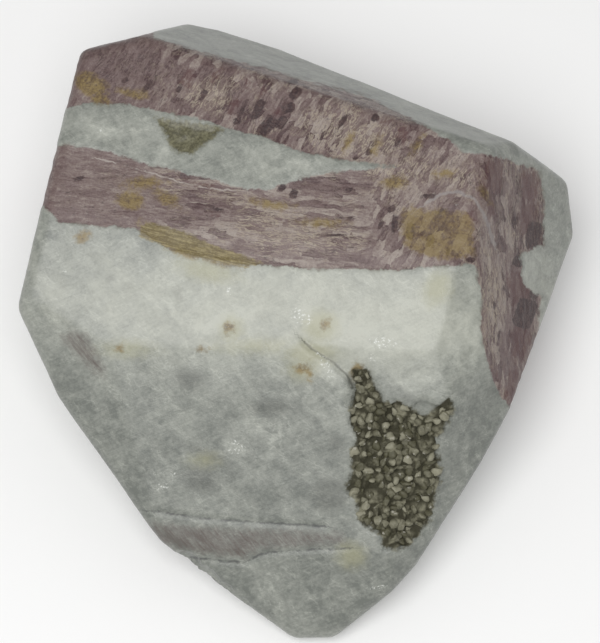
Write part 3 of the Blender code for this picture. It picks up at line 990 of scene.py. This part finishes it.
class TOURMALINE_OT_pocket_grains(bpy.types.Operator):
    """Scatter loose grains over the broken pocket"""

    bl_idname = "tourmaline.pocket_grains"
    bl_label = "Pocket grains"

    def execute(self, context):
        pocket = context.scene.tourmaline_pocket
        patch = pocket_patch(bpy.data.objects["polished_stone"].data, 0.35)
        carrier = bpy.data.objects.new("pocket_patch", patch)
        context.scene.collection.objects.link(carrier)
        material = grain_finish(pocket)
        tree = scatter_tree(pocket, material)
        scatter = carrier.modifiers.new("pocket grains", "NODES")
        scatter.node_group = tree
        scatter[socket_identifier(tree, "Spacing")] = pocket.grain_spacing
        scatter[socket_identifier(tree, "Grain radius")] = pocket.grain_size
        scatter[socket_identifier(tree, "Seed")] = pocket.seed
        graph = context.evaluated_depsgraph_get()
        mesh = bpy.data.meshes.new_from_object(carrier.evaluated_get(graph))
        if not mesh.polygons:
            raise RuntimeError("the scatter made no grains")
        bpy.data.objects.remove(carrier)
        mesh.name = "pocket_grains"
        mesh.shade_smooth()
        piece = bpy.data.objects.new("pocket_grains", mesh)
        context.scene.collection.objects.link(piece)
        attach(piece, "root")
        return {"FINISHED"}


class TOURMALINE_OT_stage(bpy.types.Operator):
    """Set up the floor, the soft light and the camera"""

    bl_idname = "tourmaline.stage"
    bl_label = "Stage"

    def execute(self, context):
        stage = context.scene.tourmaline_stage
        self.lay_floor(context, stage)
        self.hang_lights(context, stage)
        self.place_camera(context)
        return {"FINISHED"}

    @staticmethod
    def lay_floor(context, stage):
        half = stage.floor_side / 2
        mesh = bpy.data.meshes.new("floor")
        mesh.from_pydata(
            [(-half, -half, 0.0), (half, -half, 0.0), (half, half, 0.0), (-half, half, 0.0)], [],
            [(0, 1, 2, 3)],
        )
        finish = Finish("pale_floor")
        paper = finish.grain(finish.node("ShaderNodeTexCoord", output="Object"), 0.4, 3.0)
        shade = finish.blend(paper * 0.06, flat(stage.floor_colour), (1.0, 1.0, 1.0, 1.0))
        finish.set(Base_Color=shade, Roughness=0.9)
        finish.surface.inputs["Specular IOR Level"].default_value = 0.1
        mesh.materials.append(finish.material)
        floor = bpy.data.objects.new("floor", mesh)
        context.scene.collection.objects.link(floor)

    @staticmethod
    def hang_lights(context, stage):
        world = bpy.data.worlds.new("studio")
        world.use_nodes = True
        room = world.node_tree.nodes["Background"]
        room.inputs["Color"].default_value = (1.0, 1.0, 1.0, 1.0)
        room.inputs["Strength"].default_value = stage.sky
        context.scene.world = world
        lamp = bpy.data.lights.new("key", "AREA")
        lamp.shape = "DISK"
        lamp.size = 0.55
        lamp.energy = stage.key_power
        key = bpy.data.objects.new("key", lamp)
        key.location = (-0.10, -0.28, 0.66)
        key.rotation_euler = (Vector((0.0, 0.0, 0.02)) - key.location).to_track_quat("-Z", "Y").to_euler()
        context.scene.collection.objects.link(key)

    @staticmethod
    def place_camera(context):
        tilt = math.radians(DRAWING_ELEVATION)
        away = Vector((0.0, -math.cos(tilt), math.sin(tilt))) * DRAWING_DISTANCE
        lens = bpy.data.cameras.new("camera")
        lens.sensor_fit = "AUTO"
        lens.sensor_width = 36.0
        lens.lens = 36.0 * DRAWING_DISTANCE / (max(PHOTO_SIZE) * PHOTO_MM_PER_PIXEL)
        lens.clip_start = 0.01
        camera = bpy.data.objects.new("camera", lens)
        camera.location = (Vector(DRAWING_MIDDLE) + away) * MM
        camera.rotation_euler = (math.pi / 2 - tilt, 0.0, 0.0)
        context.scene.collection.objects.link(camera)
        context.scene.camera = camera
        context.scene.view_settings.view_transform = "Standard"


class TOURMALINE_PT_stone(bpy.types.Panel):
    bl_idname = "TOURMALINE_PT_stone"
    bl_label = "Pink tourmaline"
    bl_space_type = "VIEW_3D"
    bl_region_type = "UI"
    bl_category = "Tourmaline"

    def draw(self, context):
        for title, settings, operator in (
            ("Stone", context.scene.tourmaline_stone, TOURMALINE_OT_polished_stone),
            ("Pocket", context.scene.tourmaline_pocket, TOURMALINE_OT_pocket_grains),
            ("Stage", context.scene.tourmaline_stage, TOURMALINE_OT_stage),
        ):
            box = self.layout.box()
            box.label(text=title)
            for name in settings.__annotations__:
                box.prop(settings, name)
            box.operator(operator.bl_idname)


CLASSES = (
    StoneSettings,
    PocketSettings,
    StageSettings,
    TOURMALINE_OT_polished_stone,
    TOURMALINE_OT_pocket_grains,
    TOURMALINE_OT_stage,
    TOURMALINE_PT_stone,
)


def register():
    for kind in CLASSES:
        bpy.utils.register_class(kind)
    bpy.types.Scene.tourmaline_stone = PointerProperty(type=StoneSettings)
    bpy.types.Scene.tourmaline_pocket = PointerProperty(type=PocketSettings)
    bpy.types.Scene.tourmaline_stage = PointerProperty(type=StageSettings)


def unregister():
    del bpy.types.Scene.tourmaline_stage
    del bpy.types.Scene.tourmaline_pocket
    del bpy.types.Scene.tourmaline_stone
    for kind in reversed(CLASSES):
        bpy.utils.unregister_class(kind)


def main():
    register()
    bpy.ops.tourmaline.polished_stone()
    bpy.ops.tourmaline.pocket_grains()
    bpy.ops.tourmaline.stage()


if __name__ == "__main__":
    main()
